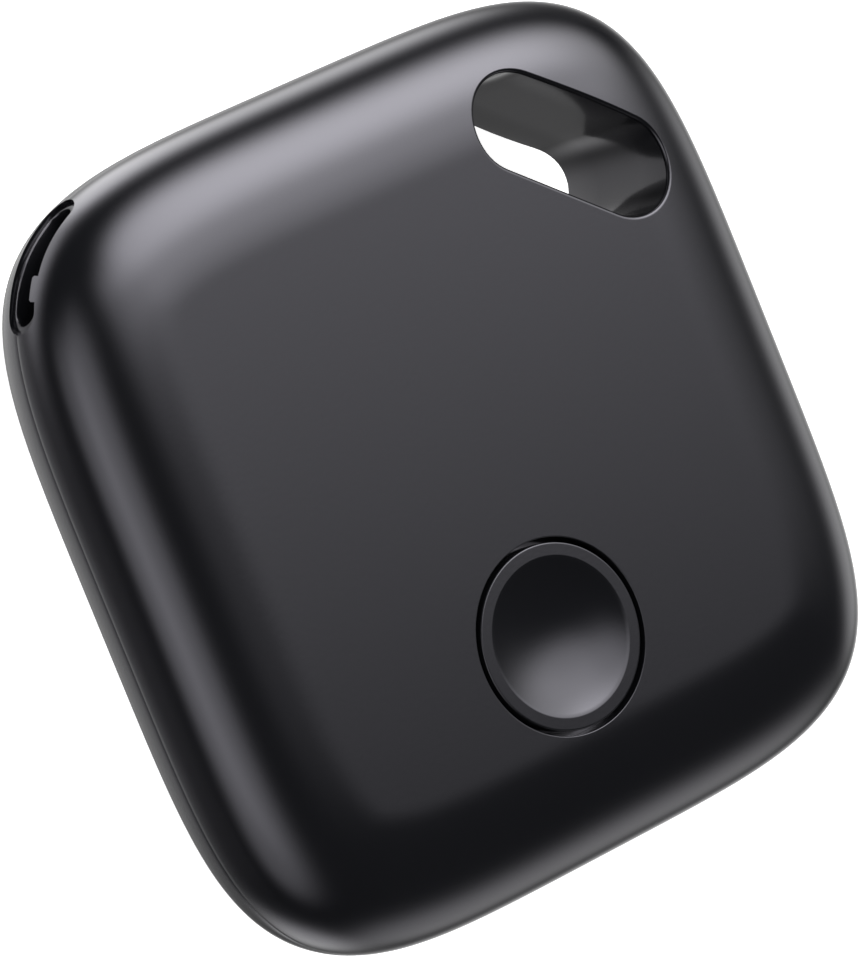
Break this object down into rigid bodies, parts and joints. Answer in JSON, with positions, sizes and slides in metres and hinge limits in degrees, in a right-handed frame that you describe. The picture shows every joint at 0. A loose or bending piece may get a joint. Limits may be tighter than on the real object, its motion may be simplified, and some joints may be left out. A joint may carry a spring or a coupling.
{
  "type": "tracker tag",
  "caption": "Small pillow-shaped square tracker tag with a key slot through one corner, a round push button and a replaceable coin cell.",
  "frame": {"origin": "centre of the case's square outline, on the flat of the back face that the tag rests on", "axes": "+Z out of the front face with the button; +Y towards the edge opposite the button; +X to the right seen from the front, so the key slot is in the +X +Y corner"},
  "size_m": [0.039, 0.039, 0.0096],
  "materials": {
    "case_plastic": "satin, fine moulded texture",
    "button_plastic": "satin",
    "switch_plastic": "matte",
    "gasket_rubber": "matte",
    "foam": "matte, fine cells",
    "silicone": "satin, cloudy",
    "adhesive": "matte",
    "board_laminate": "solder mask, satin gloss",
    "screw_steel": "satin",
    "spring_steel": "satin",
    "chip_epoxy": "matte",
    "crystal_metal": "satin",
    "ceramic_white": "matte",
    "capacitor_ceramic": "matte",
    "resistor_ceramic": "satin",
    "inductor_ceramic": "matte",
    "piezo_brass": "brushed",
    "contact_gold": "plated",
    "holder_plastic": "satin",
    "cell_steel": "satin",
    "cell_seal_plastic": "satin"
  },
  "bodies": {
    "cover": {"back_cover": "case_plastic", "cover_gasket": "gasket_rubber", "cell_pad": "foam"},
    "housing": {"front_cover": "case_plastic", "circuit_board": "board_laminate", "board_screws": "screw_steel", "switch_base": "switch_plastic", "switch_plate": "spring_steel", "radio_chip": "chip_epoxy", "main_crystal": "crystal_metal", "clock_crystal": "crystal_metal", "chip_antenna": "ceramic_white", "capacitors": "capacitor_ceramic", "resistors": "resistor_ceramic", "rf_inductors": "inductor_ceramic", "membrane_ring": "adhesive", "button_membrane": "silicone", "piezo_foam_ring": "foam", "piezo_plate": "piezo_brass", "piezo_ceramic": "ceramic_white", "piezo_contacts": "contact_gold", "cell_holder": "holder_plastic", "negative_contact": "spring_steel", "positive_contact": "spring_steel"},
    "button": {"button_cap": "button_plastic", "switch_plunger": "switch_plastic"},
    "battery": {"cell_can": "cell_steel", "cell_cap": "cell_steel", "cell_seal": "cell_seal_plastic"}
  },
  "joints": [
    {"name": "housing_lift", "type": "slide", "parent": "cover", "child": "housing", "axis": [0, 0, 1], "range_m": [0, 0.024]},
    {"name": "button_press", "type": "slide", "parent": "housing", "child": "button", "axis": [0, 0, -1], "range_m": [0, 0.0003], "stiffness_N_per_m": 200, "deforming": ["button_membrane"]},
    {"name": "battery_out", "type": "slide", "parent": "housing", "child": "battery", "axis": [0, 0, -1], "range_m": [0, 0.012]}
  ],
  "couplings": [
    {"joint": "battery_out", "follows": "housing_lift", "ratio": 0.5}
  ]
}
